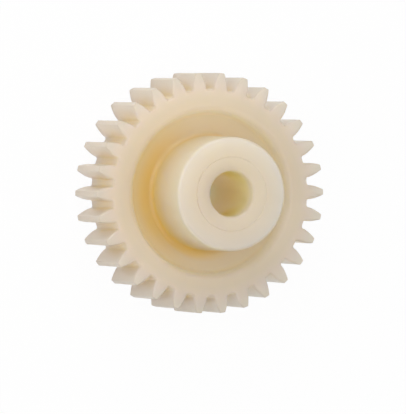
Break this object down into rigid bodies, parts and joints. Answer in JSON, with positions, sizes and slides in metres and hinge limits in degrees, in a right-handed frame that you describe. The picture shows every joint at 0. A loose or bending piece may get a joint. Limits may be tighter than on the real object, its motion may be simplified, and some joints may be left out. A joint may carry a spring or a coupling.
{
  "type": "spur gear",
  "caption": "Moulded plastic spur gear: involute-toothed rim, web sunk on both faces, a hub on one side and a plain through bore for the shaft.",
  "frame": {"origin": "on the gear's axis, in the back face of the rim, which the gear rests on", "axes": "+Z along the axis from the back face towards the end of the hub, +X through the middle of one tooth"},
  "size_m": [0.032, 0.0318, 0.017],
  "materials": {
    "moulded_acetal": "natural cream acetal as it leaves the mould, satin and slightly translucent"
  },
  "bodies": {
    "root": {"spur_gear": "moulded_acetal"}
  },
  "joints": []
}
